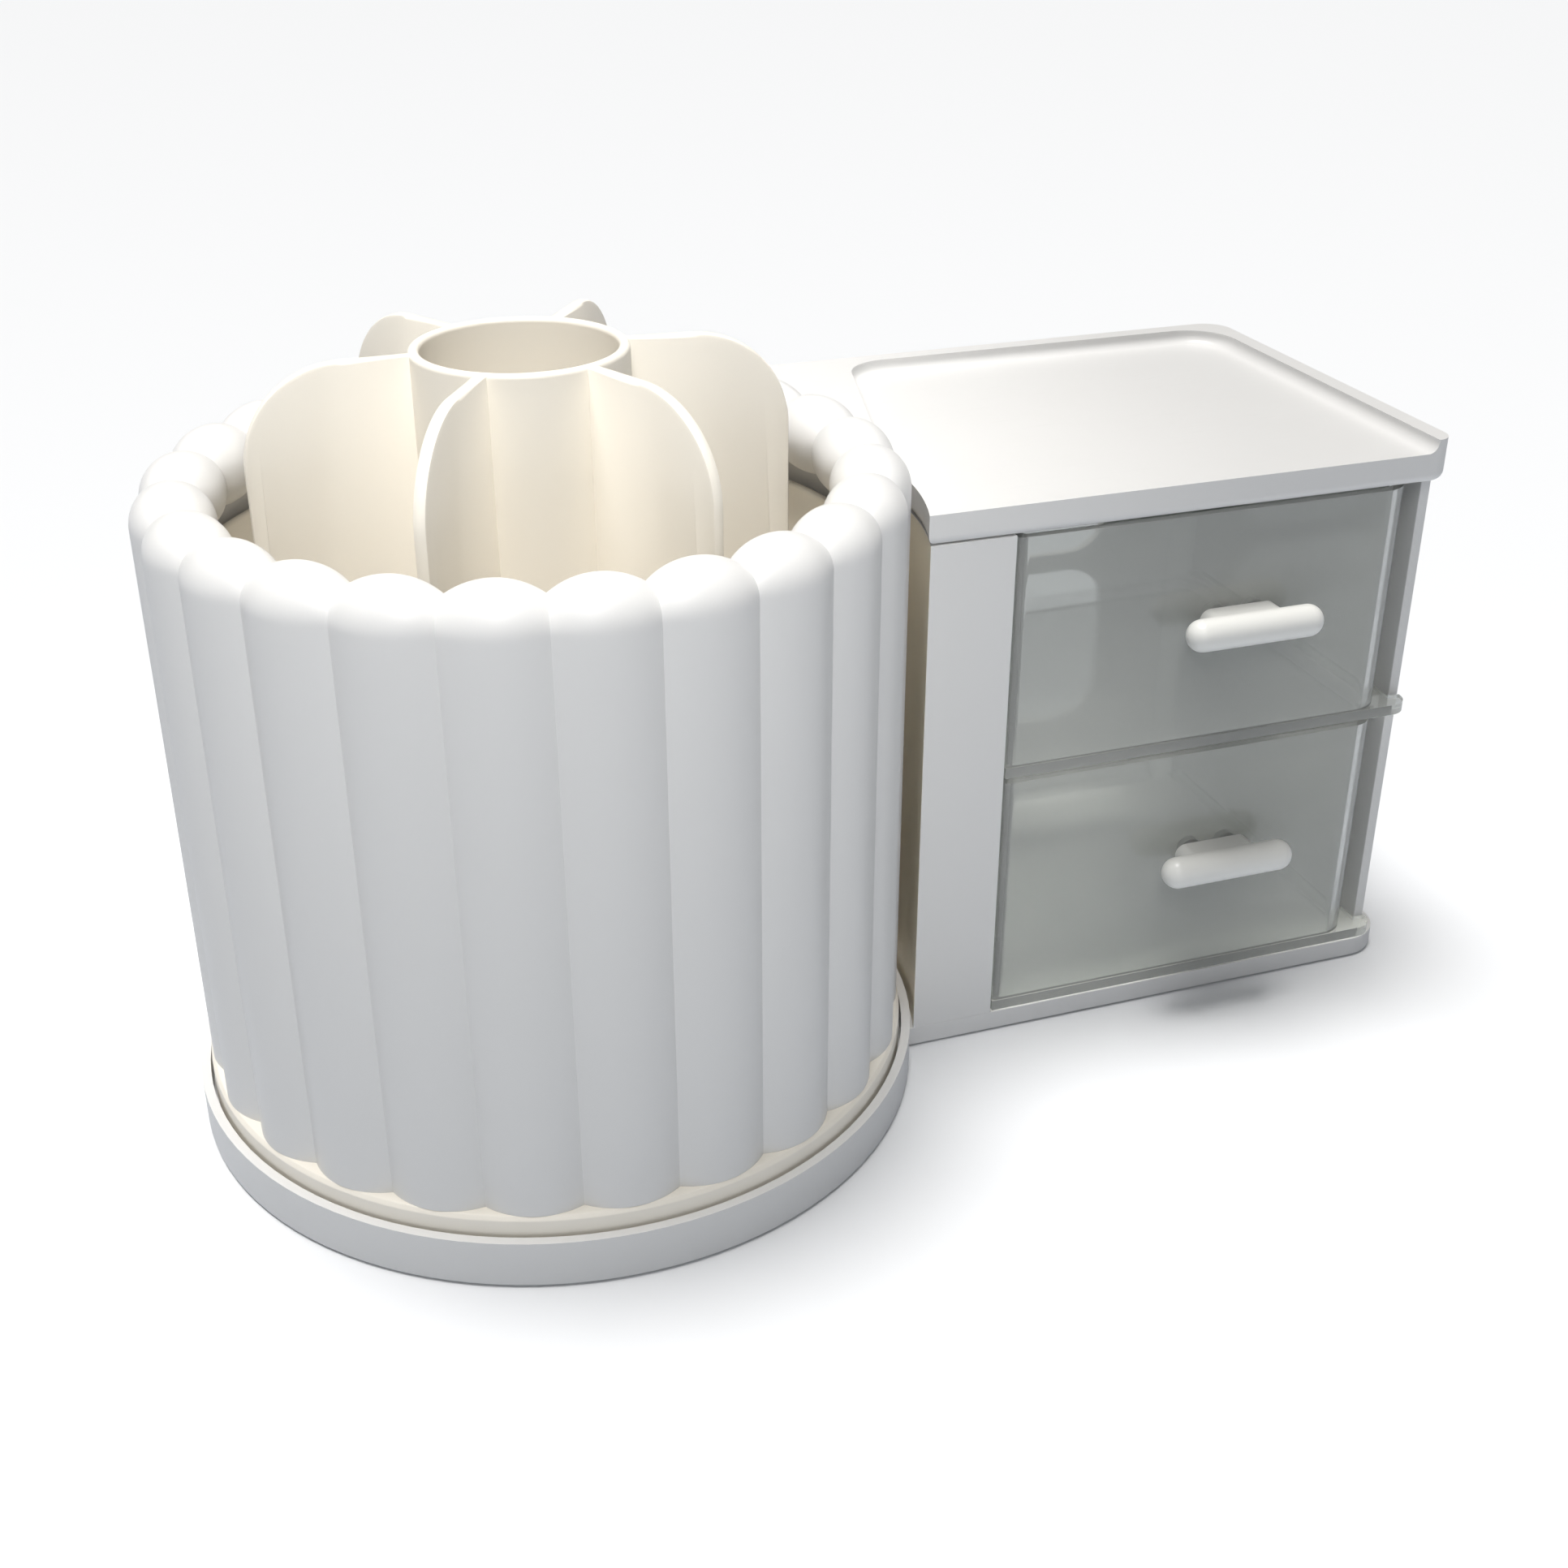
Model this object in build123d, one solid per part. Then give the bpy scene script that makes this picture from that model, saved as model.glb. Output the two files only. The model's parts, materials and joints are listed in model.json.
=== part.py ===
from build123d import *
import math
import os

# Rotating desk organizer: a fluted pen barrel that turns on a round foot,
# joined to a cabinet with two see-through drawers. Millimetres, +Z up.
# Every piece is drawn about the barrel's turning axis, and saved with the
# origin under the middle of the whole organizer. The drawers open towards -Y.

# ---- foot and turntable ----
disc_radius = 63.7
lip_wall = 1.6
lip_top = 8.7
foot_standoff = 0.5
foot_depth = 0.8
spoke_count = 6
floor_top = 4.2
floor_wall = 2.0
foot_radius = 4.5
hub_radius = 6.0
hub_top = 12.6
hub_gap = 0.08
plate_bottom = 9.4
plate_top = 12.0
plate_gap = 0.5
skirt_wall = 1.6
ball_radius = 2.5
ball_count = 10
race_radius = 41.0
cage_width = 8.0
cage_height = 1.8

# ---- barrel ----
flute_count = 24
flute_turn = -2.3
barrel_setback = 2.5
flute_depth = 2.2
rim_radius = 6.6
rim_centre = 108.5
groove_height = 0.5
groove_wall = 4.4
sleeve_wall = 3.9
boss_room = 6.7
liner_draft = 4.6
liner_wall = 1.5
liner_top = 98.0
liner_floor = 1.8

# ---- divider insert ----
tube_radius = 17.1
tube_wall = 1.8
tube_top = 132.2
fin_count = 6
fin_turn = -2.4
fin_room = 5.9
fin_wall = 2.2
fin_drop = 0.3
fin_corner = 16.0
cap_rim = 3.0
cap_height = 4.0
cap_wall = 1.6

# ---- cabinet ----
cabinet_front = -20.2
back_setback = 2.6
cabinet_width = 83.2
cabinet_wall = 2.0
barrel_gap = 0.9
horn_reach = 26.6
horn_round = 2.5
back_corner = 5.0
stile_width = 12.2
wall_setback = 4.2
base_flare = 3.2
base_corner = 8.0
post_radius = 3.2
post_web = 1.8
front_post_in = 2.8
horn_post_in = 12.0
corner_post_in = 1.0
tongue_length = 16.0
tongue_depth = 1.2
tongue_side = 0.4
tongue_gap = 0.1

# ---- top tray ----
tray_bottom = 98.5
tray_floor = 104.0
tray_rim = 106.4
tray_overhang = 0.4
tray_wall = 2.2
tray_round = 1.8
tray_corner = 3.5
rim_width = 3.0
recess_corner = 9.0
recess_left_back = 11.9
recess_left_front = 13.4
peg_radius = 2.0
peg_length = 6.0

# ---- back windows ----
window_width = 38.0
window_height = 36.5
window_corner = 9.0
window_bottoms = (20.0, 60.4)

# ---- drawers ----
slide_gap = 0.4
rest_gap = 0.3
drawer_room = 0.7
drawer_wall = 1.6
drawer_floor = 1.8
flange_width = 3.2
flange_height = 2.0
drawer_corner = 6.0
side_corner = 2.0
wall_drop = 2.0
split_height = 52.0
split_gap = 1.2
top_gap = 0.6
lip_depth = 3.8
nub_length = 3.0
nub_height = 8.0
nub_reach = 2.4
nub_place = 38.0
nub_share = 0.62
rail_height = 2.2
rail_ledge = 2.4
rail_bar = 3.4
guide_height = 3.2

# ---- handles ----
handle_length = 26.4
handle_radius = 2.9
handle_standoff = 6.0
handle_share = 0.56
handle_shift = 4.7
neck_length = 15.0
neck_height = 4.0

# ---- screws ----
screw_radius = 1.5
screw_gap = 0.05
head_radius = 2.9
head_height = 1.8
screw_grip = 9.0
small_screw_radius = 1.1
small_head_radius = 2.2
small_head_height = 1.4
washer_radius = 9.0
washer_height = 1.0
boss_radius = 2.9
boss_height = 12.0

# ---- worked out from the sizes above ----
crest_radius = disc_radius - barrel_setback
shell_inner = crest_radius - sleeve_wall
liner_foot = shell_inner - boss_room
liner_mouth = liner_foot + liner_draft
fin_reach = liner_foot - liner_wall - fin_room
fin_top = tube_top - fin_drop
bite_radius = disc_radius + barrel_gap
cabinet_back = disc_radius - back_setback
horn_left = bite_radius - horn_reach
stile_right = bite_radius + stile_width
cabinet_right = stile_right + cabinet_width
wall_front = cabinet_front + wall_setback
lip_inner = disc_radius - lip_wall
plate_radius = lip_inner - plate_gap
wall_inner = cabinet_right - cabinet_wall
base_right = cabinet_right + base_flare
drawer_left = stile_right + slide_gap
flange_right = wall_inner - slide_gap
drawer_right = flange_right - flange_width
drawer_front = cabinet_front + 0.2
drawer_back = cabinet_back - cabinet_wall - 2 * post_radius - drawer_room
lower_bottom = floor_top + rest_gap
upper_bottom = split_height + split_gap
upper_top = tray_bottom - top_gap
rail_top = upper_bottom - rest_gap
rail_bottom = rail_top - rail_height
ledge_front = drawer_front + drawer_corner + slide_gap
liner_base = plate_top
insert_base = liner_base + liner_floor
handle_x = (drawer_left + drawer_right) / 2 + handle_shift
window_x = (stile_right + wall_inner) / 2
posts = {
    "front": (bite_radius + cabinet_wall + front_post_in, wall_front + post_radius),
    "horn": (horn_left + horn_post_in, cabinet_back - cabinet_wall - post_radius),
    "corner": (wall_inner - corner_post_in - post_radius, cabinet_back - cabinet_wall - post_radius),
}
feet = [
    (-44.0, -34.0),
    (-44.0, 34.0),
    (30.0, -47.0),
    (30.0, 47.0),
    (base_right - 15.0, cabinet_front + 13.0),
    (base_right - 15.0, cabinet_back - 18.0),
]
boss_ring = shell_inner - boss_radius
origin_shift = (disc_radius - base_right) / 2

os.makedirs("parts", exist_ok=True)


def save(name, *pieces):
    """Write one node, with the origin under the middle of the organizer."""
    solids = [solid for piece in pieces for solid in piece.solids()]
    placed = Compound(solids).moved(Location((origin_shift, 0, 0)))
    export_step(Compound(placed.solids()), f"parts/{name}.step")


def slab(x0, x1, y0, y1, z0, z1):
    """A block between two corners."""
    block = Box(x1 - x0, y1 - y0, z1 - z0)
    return Pos((x0 + x1) / 2, (y0 + y1) / 2, (z0 + z1) / 2) * block


def rod(radius, z0, z1, x=0.0, y=0.0):
    """A round bar standing on z0."""
    return Pos(x, y, (z0 + z1) / 2) * Cylinder(radius, z1 - z0)


def rise(sketch, z0, z1):
    """Extrude a flat outline from z0 to z1."""
    return extrude(Pos(0, 0, z0) * sketch, z1 - z0)


def turned(points):
    """Revolve a closed (radius, height) outline about the turning axis."""
    outline = Polyline(*[(r, 0, z) for r, z in points], close=True)
    return revolve(make_face(outline), Axis.Z)


def around(shape, count, start=0.0):
    """Copies of one shape, evenly spaced about the turning axis."""
    return [Rot(0, 0, start + 360 / count * i) * shape for i in range(count)]


def rounded_rectangle(x0, x1, y0, y1, radii):
    """A rectangle whose corners have their own radii, keyed by (right, back)."""
    face = Pos((x0 + x1) / 2, (y0 + y1) / 2) * Rectangle(x1 - x0, y1 - y0)
    for (right, back), radius in radii.items():
        corner = Vector(x1 if right else x0, y1 if back else y0, 0)
        vertex = face.vertices().sort_by_distance(corner)[0]
        face = fillet(vertex, radius)
    return face


def cabinet_outline(inset=0.0):
    """Plan of the cabinet: a rectangle with the barrel's bite taken out."""
    x0 = horn_left + inset
    y1 = cabinet_back - inset
    corner = {(True, True): back_corner - inset}
    face = rounded_rectangle(x0, cabinet_right - inset, cabinet_front + inset, y1, corner)
    face -= Circle(bite_radius + inset)
    tips = face.vertices().filter_by(lambda v: abs(v.X - x0) < 0.01)
    end_length = y1 - math.sqrt((bite_radius + inset) ** 2 - x0**2)
    return fillet(tips, min(horn_round, 0.45 * end_length))


# ---- the foot: round plate and cabinet floor in one moulding ----

def base_outline(inset=0.0):
    """Plan of the foot: disc and cabinet floor joined."""
    corners = {(True, False): base_corner - inset, (True, True): base_corner - inset}
    floor = rounded_rectangle(
        horn_left + inset, base_right - inset, cabinet_front + inset, cabinet_back - inset, corners
    )
    return floor + Circle(disc_radius - inset)


def make_base_plate():
    under = floor_top - floor_wall
    body = rise(base_outline(), foot_standoff, floor_top)
    body -= rise(base_outline(lip_wall), foot_standoff, under)
    hub_boss = 2 * hub_radius
    body += rise(Circle(disc_radius) - Circle(lip_inner), floor_top, lip_top)
    spoke = slab(hub_radius, lip_inner + 0.5, -lip_wall / 2, lip_wall / 2, foot_standoff, under)
    for rib in around(spoke, spoke_count, 180 / spoke_count):
        body += rib
    for y in (cabinet_front / 3, cabinet_back / 3):
        body += slab(disc_radius, base_right - lip_wall, y, y + lip_wall, foot_standoff, under)
    body += rod(hub_boss, foot_standoff, under)
    body += rod(hub_radius, floor_top, hub_top)
    body -= rod(screw_radius + screw_gap, hub_top - screw_grip, hub_top)
    for x, y in feet:
        body += rod(foot_radius + 1.2, foot_standoff, under, x, y)
        body -= rod(foot_radius + screw_gap, foot_standoff, foot_standoff + foot_depth, x, y)
    for x, y in posts.values():
        body += rod(head_radius + 1.4, foot_standoff, under, x, y)
        body -= rod(head_radius + 0.2, foot_standoff, foot_standoff + head_height, x, y)
        body -= rod(screw_radius + 0.2, foot_standoff, floor_top, x, y)
    guide_back = drawer_back + 2.0
    guide_left = stile_right - cabinet_wall
    body += slab(guide_left, stile_right, wall_front, guide_back, floor_top, floor_top + guide_height)
    for y in tongue_places():
        body -= make_tongue(y, tongue_gap)
    return body


def tongue_places():
    """Middles of the two tongues that locate the right wall in the floor."""
    return (wall_front + 14.0, cabinet_back - 20.0)


def make_tongue(y, grow=0.0):
    """One tongue under the right wall, or its slot when grown."""
    half = tongue_length / 2 + grow
    side = tongue_side - grow
    bottom = floor_top - tongue_depth - grow
    return slab(wall_inner + side, cabinet_right - side, y - half, y + half, bottom, floor_top)


def make_rubber_feet():
    return [rod(foot_radius, 0, foot_standoff + foot_depth, x, y) for x, y in feet]


def make_screw(radius, head, head_high, length):
    """Pan-head screw, head down at z = 0, shank upwards."""
    screw = rod(head, 0, head_high) + rod(radius, head_high, length)
    slot = slab(-head, head, -0.35, 0.35, 0, 0.6)
    cross = slab(-0.35, 0.35, -head, head, 0, 0.6)
    keep = rod(head * 0.6, 0, 0.6)
    return screw - ((slot + cross) & keep)


def make_base_screws():
    screw = make_screw(screw_radius, head_radius, head_height, screw_grip + head_height)
    return [Pos(x, y, foot_standoff) * screw for x, y in posts.values()]


# ---- cabinet walls ----

def wall_ring(z0, z1):
    """The cabinet's walls as one upright ring, before it is parted."""
    return rise(cabinet_outline() - cabinet_outline(cabinet_wall), z0, z1)


def make_post(name):
    """Screw post: pilot hole below, socket for the tray's peg on top."""
    x, y = posts[name]
    post = rod(post_radius, floor_top, tray_bottom, x, y)
    post -= rod(screw_radius + screw_gap, floor_top, floor_top + screw_grip, x, y)
    return post - rod(peg_radius + screw_gap, tray_bottom - peg_length - 0.5, tray_bottom, x, y)


def make_left_wall():
    """Curved wall behind the barrel, with the broad front stile."""
    ring = wall_ring(floor_top, tray_bottom)
    back_face = cabinet_back - cabinet_wall
    wall = ring & slab(0, stile_right, cabinet_front, back_face, floor_top, tray_bottom)
    x, y = posts["front"]
    web = slab(bite_radius - cabinet_wall, x, y - post_web / 2, y + post_web / 2, floor_top, tray_bottom)
    web -= rod(bite_radius + cabinet_wall / 2, floor_top, tray_bottom)
    bore = rod(peg_radius + 0.5, floor_top, tray_bottom, x, y)
    return wall + (web - bore) + make_post("front")


def make_back_panel():
    """Back wall with one rounded window behind each drawer."""
    ring = wall_ring(floor_top, tray_bottom)
    back_face = cabinet_back - cabinet_wall
    panel = ring & slab(0, wall_inner, back_face, cabinet_back, floor_top, tray_bottom)
    for bottom in window_bottoms:
        window = RectangleRounded(window_width, window_height, window_corner)
        middle = bottom + window_height / 2
        cutter = extrude(Plane.XZ * window, cabinet_wall * 3, both=True)
        panel -= Pos(window_x, cabinet_back, middle) * cutter
    for name in ("horn", "corner"):
        x, y = posts[name]
        web_front = y + peg_radius + 0.5
        web = slab(x - post_web / 2, x + post_web / 2, web_front, back_face, floor_top, tray_bottom)
        panel += make_post(name) + web
    return panel


def make_right_wall():
    """Outer side wall, rounded into the back panel, with two tongues."""
    ring = wall_ring(floor_top, tray_bottom)
    wall = ring & slab(wall_inner, cabinet_right, wall_front, cabinet_back, floor_top, tray_bottom)
    for y in tongue_places():
        wall += make_tongue(y)
    return wall


def make_left_rail():
    """Ledge for the upper drawer's left side, from the stile to the back."""
    back_face = cabinet_back - cabinet_wall
    front_face = cabinet_front + cabinet_wall
    bar_left = stile_right - rail_bar
    ledge_right = drawer_left + rail_ledge
    guide_left = stile_right - cabinet_wall
    rail = slab(bar_left, stile_right, front_face, back_face, rail_bottom, rail_top)
    rail += slab(bar_left, ledge_right, ledge_front, back_face, rail_bottom, rail_top)
    rail += slab(guide_left, stile_right, wall_front, drawer_back, rail_top, rail_top + guide_height)
    return rail


def make_right_rail():
    """Ledge on the right wall that the drawer's flange slides along."""
    ledge_left = drawer_right + slide_gap
    back = posts["corner"][1] - post_radius
    rail = slab(ledge_left, wall_inner, ledge_front, back, rail_bottom, rail_top)
    return rail + slab(wall_inner - 1.0, wall_inner, ledge_front, back, rail_bottom - 1.6, rail_bottom)


# ---- top tray ----

def make_top_tray():
    """Cover with a raised rim at the back and right, open at the front."""
    blank = rise(cabinet_outline(-tray_overhang), tray_bottom, tray_rim)
    front_corner = Vector(cabinet_right, cabinet_front, tray_floor)
    blank = fillet(blank.edges().filter_by(Axis.Z).sort_by_distance(front_corner)[0], tray_corner)
    lower = blank.edges().filter_by(
        lambda e: abs(e.center().Z - tray_bottom) < 0.01 and e.center().X > stile_right
    )
    blank = fillet(lower, tray_round)
    inner_back = cabinet_back - rim_width
    inner_right = cabinet_right - rim_width
    front = 2 * cabinet_front
    recess = make_face(Polyline(
        (bite_radius - recess_left_front, front), (inner_right, front),
        (inner_right, inner_back), (bite_radius + recess_left_back, inner_back), close=True
    ))
    backs = recess.vertices().filter_by(lambda v: v.Y > 0)
    recess = fillet(backs, recess_corner)
    tray = blank - rise(recess, tray_floor, 2 * tray_rim - tray_floor)
    cove = tray.edges().filter_by(
        lambda e: abs(e.center().Z - tray_floor) < 0.01 and e.center().Y > cabinet_front + 1
        and (e.center().X > inner_right - 6 or e.center().Y > inner_back - 6)
        and e.center().X < cabinet_right - 1 and e.center().Y < cabinet_back - 1
    )
    tray = fillet(cove, (tray_rim - tray_floor) * 0.8)
    pocket_inset = tray_wall - tray_overhang
    tray -= rise(cabinet_outline(pocket_inset), tray_bottom, tray_floor - tray_wall)
    for x, y in posts.values():
        tray += rod(peg_radius, tray_bottom - peg_length, tray_floor - 0.5, x, y)
        tray += rod(post_radius, tray_bottom, tray_floor - 0.5, x, y)
    return tray


# ---- barrel that turns on the foot ----

def make_turntable_plate():
    bore = hub_radius + hub_gap
    hub_foot = floor_top + 1.6
    hub_wall = bore + 3.0
    plate = turned([
        (bore, hub_foot), (hub_wall, hub_foot), (hub_wall, plate_bottom),
        (plate_radius - skirt_wall, plate_bottom), (plate_radius - skirt_wall, hub_foot),
        (plate_radius, hub_foot), (plate_radius, plate_top - 0.6),
        (plate_radius - 0.6, plate_top), (bore, plate_top),
    ])
    for x, y in boss_places():
        plate -= rod(screw_radius + 0.2, plate_bottom - 1, plate_top + 1, x, y)
    return plate


def flute_arc(radius):
    """Plan of one flute's outer line: valley, crest, valley."""
    half = math.radians(180 / flute_count)
    valley = radius - flute_depth
    side = (valley * math.cos(half), valley * math.sin(half))
    return (side[0], -side[1]), (radius, 0), side


def make_flute():
    """One flute with its bead: upright rib that rolls over into the rim."""
    low, crest, high = flute_arc(crest_radius)
    half = 180 / flute_count
    middle = crest_radius - rim_radius
    outer = ThreePointArc(low, crest, high)
    chord = Line(high, (middle, high[1]))
    foot = Line((middle, low[1]), low)
    spine = Line((middle, high[1]), (middle, low[1]))
    lens = make_face(Wire([outer, chord, spine, foot]))
    rib = rise(lens, plate_top, rim_centre)
    turn_axis = Axis((middle, 0, rim_centre), (0, -1, 0))
    bead = revolve(Pos(0, 0, rim_centre) * lens, turn_axis, 270)
    reach = crest_radius * 2
    wedge = make_face(Polyline(
        (0, 0), (reach * math.cos(math.radians(half)), -reach * math.sin(math.radians(half))),
        (reach * math.cos(math.radians(half)), reach * math.sin(math.radians(half))), close=True
    ))
    return (rib + bead) & rise(wedge, 0, tube_top)


def make_fluted_barrel():
    """Outer sleeve: flutes all round, hollow behind the rolled rim."""
    flutes = around(make_flute(), flute_count, flute_turn)
    sleeve = flutes[0].fuse(*flutes[1:])
    rim_bottom = rim_centre - rim_radius
    sleeve -= rod(shell_inner, plate_top / 2, rim_bottom)
    groove_inner = crest_radius - 2 * rim_radius + groove_wall
    groove = Circle(shell_inner) - Circle(groove_inner)
    sleeve -= rise(groove, rim_bottom - groove_height, rim_centre + groove_height)
    for x, y in boss_places():
        boss = rod(boss_radius, plate_top, plate_top + boss_height, x, y)
        link = rod(boss_radius * 0.6, plate_top, plate_top + boss_height, x * 1.04, y * 1.04)
        boss += link
        boss -= rod(screw_radius + screw_gap, plate_top, plate_top + screw_grip, x, y)
        sleeve += boss
    return sleeve


def boss_places():
    """The three screw bosses between the sleeve and the liner."""
    angles = [math.radians(flute_turn + 120 * i) for i in range(3)]
    return [(boss_ring * math.cos(a), boss_ring * math.sin(a)) for a in angles]


def make_inner_liner():
    """Cream cup inside the sleeve, wider at its mouth."""
    hole = washer_radius * 7 / 6
    return turned([
        (hole, liner_base), (liner_foot, liner_base), (liner_mouth, liner_top),
        (liner_mouth - liner_wall, liner_top), (liner_foot - liner_wall, insert_base), (hole, insert_base),
    ])


def make_divider_insert():
    """Centre tube with six petal-shaped fins."""
    tube = rod(tube_radius, insert_base, tube_top)
    start = tube_radius - tube_wall / 2
    blade = make_face(Polyline(
        (start, insert_base), (fin_reach, insert_base), (fin_reach, fin_top), (start, fin_top), close=True
    ))
    tip = blade.vertices().sort_by_distance(Vector(fin_reach, fin_top, 0))[0]
    fin = extrude(Plane.XZ * fillet(tip, fin_corner), fin_wall / 2, both=True)
    for blade in around(fin, fin_count, fin_turn):
        tube += blade
    return tube - rod(tube_radius - tube_wall, insert_base - 1, tube_top + 1)


def make_pivot_cap():
    """Domed cap over the pivot screw, at the bottom of the centre tube."""
    outer = washer_radius + cap_rim
    inner = outer - cap_wall
    top = insert_base + cap_height
    return turned([
        (outer, insert_base), (outer, top - cap_wall), (inner, top), (0, top),
        (0, top - cap_wall), (inner - cap_wall, top - cap_wall), (inner, insert_base),
    ])


def make_barrel_screws():
    screw = make_screw(screw_radius, head_radius, head_height, screw_grip + head_height)
    return [Pos(x, y, plate_bottom - head_height) * screw for x, y in boss_places()]


# ---- bearing ----

def ball_places():
    angles = [2 * math.pi * i / ball_count for i in range(ball_count)]
    return [(race_radius * math.cos(a), race_radius * math.sin(a)) for a in angles]


def make_ball_cage():
    middle = (floor_top + plate_bottom) / 2
    ring = Circle(race_radius + cage_width / 2) - Circle(race_radius - cage_width / 2)
    cage = rise(ring, middle - cage_height / 2, middle + cage_height / 2)
    for x, y in ball_places():
        cage -= rod(ball_radius + 0.1, middle - cage_height, middle + cage_height, x, y)
    return cage


def make_bearing_balls():
    middle = (floor_top + plate_bottom) / 2
    return [Pos(x, y, middle) * Sphere(ball_radius) for x, y in ball_places()]


def make_pivot_washer():
    ring = Circle(washer_radius) - Circle(screw_radius + 0.2)
    return rise(ring, hub_top, hub_top + washer_height)


def make_pivot_screw():
    screw = make_screw(screw_radius, head_radius, head_height, screw_grip)
    return Pos(0, 0, hub_top + washer_height + head_height) * Rot(180, 0, 0) * screw


# ---- drawers ----

def make_drawer(bottom, top):
    """See-through bin: rounded front corner, base lip and side flange."""
    corners = {
        (True, False): drawer_corner, (True, True): side_corner,
        (False, True): side_corner, (False, False): 1.0,
    }
    outline = rounded_rectangle(drawer_left, drawer_right, drawer_front, drawer_back, corners)
    inner_corners = {
        (True, False): drawer_corner - drawer_wall, (True, True): side_corner / 2,
        (False, True): side_corner / 2, (False, False): side_corner / 2,
    }
    cavity = rounded_rectangle(
        drawer_left + drawer_wall, drawer_right - drawer_wall,
        drawer_front + drawer_wall, drawer_back - drawer_wall, inner_corners
    )
    tall_back = drawer_front + drawer_corner
    tall = slab(0, cabinet_right, 2 * cabinet_front, tall_back, bottom, top)
    bin_body = rise(outline, bottom, top - wall_drop) + (rise(outline, bottom, top) & tall)
    lip = rounded_rectangle(
        drawer_left, cabinet_right, cabinet_front, cabinet_front + lip_depth,
        {(True, False): lip_depth - 0.3}
    )
    bin_body += rise(lip, bottom, bottom + flange_height)
    bin_body += slab(
        drawer_right - 1, flange_right, cabinet_front + lip_depth, drawer_back,
        bottom, bottom + flange_height
    )
    bin_body -= rise(cavity, bottom + drawer_floor, top + 1)
    nub_bottom = bottom + (top - bottom) * nub_share
    nub = make_face(Polyline(
        (drawer_left - nub_reach, nub_place), (drawer_left + 0.5, nub_place),
        (drawer_left + 0.5, nub_place + nub_length * 2), (drawer_left - nub_reach, nub_place + nub_length),
        close=True
    ))
    bin_body += rise(nub, nub_bottom, nub_bottom + nub_height)
    height = handle_height(bottom, top)
    for x in handle_screw_places():
        bin_body -= Pos(x, drawer_front, height) * Rot(90, 0, 0) * Cylinder(small_screw_radius + 0.2, 8)
    return bin_body


def handle_height(bottom, top):
    return bottom + (top - bottom) * handle_share


def handle_screw_places():
    return (handle_x - neck_length / 4, handle_x + neck_length / 4)


def capsule(length, radius):
    """A round bar along X with ball ends."""
    end = length / 2
    straight = end - radius
    lean = radius * math.sqrt(0.5)
    top = Line((-straight, radius), (straight, radius))
    right = ThreePointArc((straight, radius), (straight + lean, lean), (end, 0))
    left = ThreePointArc((-end, 0), (-straight - lean, lean), (-straight, radius))
    return revolve(make_face(Wire([left, top, right, Line((end, 0), (-end, 0))])), Axis.X)


def make_handle(bottom, top):
    """Pill-shaped grip on a short neck."""
    height = handle_height(bottom, top)
    reach = drawer_front - handle_standoff
    grip = Pos(handle_x, reach, height) * capsule(handle_length, handle_radius)
    neck_face = SlotOverall(neck_length, neck_height)
    neck = extrude(Plane.XZ * neck_face, handle_standoff)
    grip += Pos(handle_x, drawer_front, height) * neck
    for x in handle_screw_places():
        pilot = Rot(90, 0, 0) * Cylinder(small_screw_radius + screw_gap, 10.4)
        grip -= Pos(x, drawer_front, height) * pilot
    return grip


def make_handle_screws(bottom, top):
    """Two screws from inside the bin into the neck."""
    height = handle_height(bottom, top)
    inside = drawer_front + drawer_wall
    length = small_head_height + drawer_wall + 5.0
    screw = make_screw(small_screw_radius, small_head_radius, small_head_height, length)
    turned_screw = Rot(90, 0, 0) * screw
    return [
        Pos(x, inside + small_head_height, height) * turned_screw for x in handle_screw_places()
    ]


save("base_plate", make_base_plate())
save("rubber_feet", *make_rubber_feet())
save("base_screws", *make_base_screws())
save("left_wall", make_left_wall())
save("back_panel", make_back_panel())
save("right_wall", make_right_wall())
save("left_rail", make_left_rail())
save("right_rail", make_right_rail())
save("top_tray", make_top_tray())
save("ball_cage", make_ball_cage())
save("bearing_balls", *make_bearing_balls())
save("pivot_washer", make_pivot_washer())
save("pivot_screw", make_pivot_screw())
save("turntable_plate", make_turntable_plate())
save("fluted_barrel", make_fluted_barrel())
save("inner_liner", make_inner_liner())
save("divider_insert", make_divider_insert())
save("pivot_cap", make_pivot_cap())
save("barrel_screws", *make_barrel_screws())
for name, bottom, top in (
    ("lower", lower_bottom, split_height),
    ("upper", upper_bottom, upper_top),
):
    save(f"{name}_drawer", make_drawer(bottom, top))
    save(f"{name}_handle", make_handle(bottom, top))
    save(f"{name}_handle_screws", *make_handle_screws(bottom, top))
print("origin shift", round(origin_shift, 3))
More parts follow.
